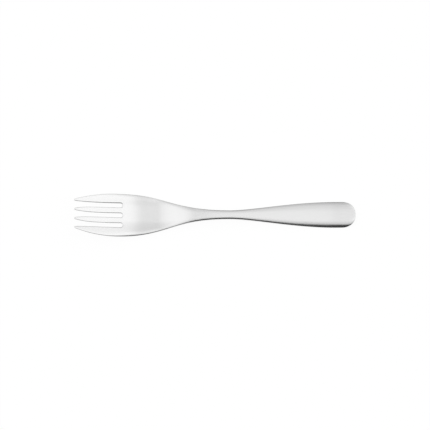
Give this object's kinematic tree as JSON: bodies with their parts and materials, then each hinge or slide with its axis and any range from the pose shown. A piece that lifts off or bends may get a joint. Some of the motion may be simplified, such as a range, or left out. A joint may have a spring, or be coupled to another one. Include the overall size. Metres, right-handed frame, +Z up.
{
  "type": "child fork",
  "caption": "Small one-piece steel table fork: short tapered tines, shallow dished head, slim rounded neck and a flared, crowned handle with a round end.",
  "frame": {"origin": "on the table under the middle of the fork's length and width, at the level of the two flats that it rests on", "axes": "+X from the tips of the tines to the end of the handle, +Y across the fork, +Z up, out of the hollow side"},
  "size_m": [0.15, 0.023, 0.0132],
  "materials": {
    "satin_steel": "satin"
  },
  "bodies": {
    "root": {"fork": "satin_steel"}
  },
  "joints": []
}
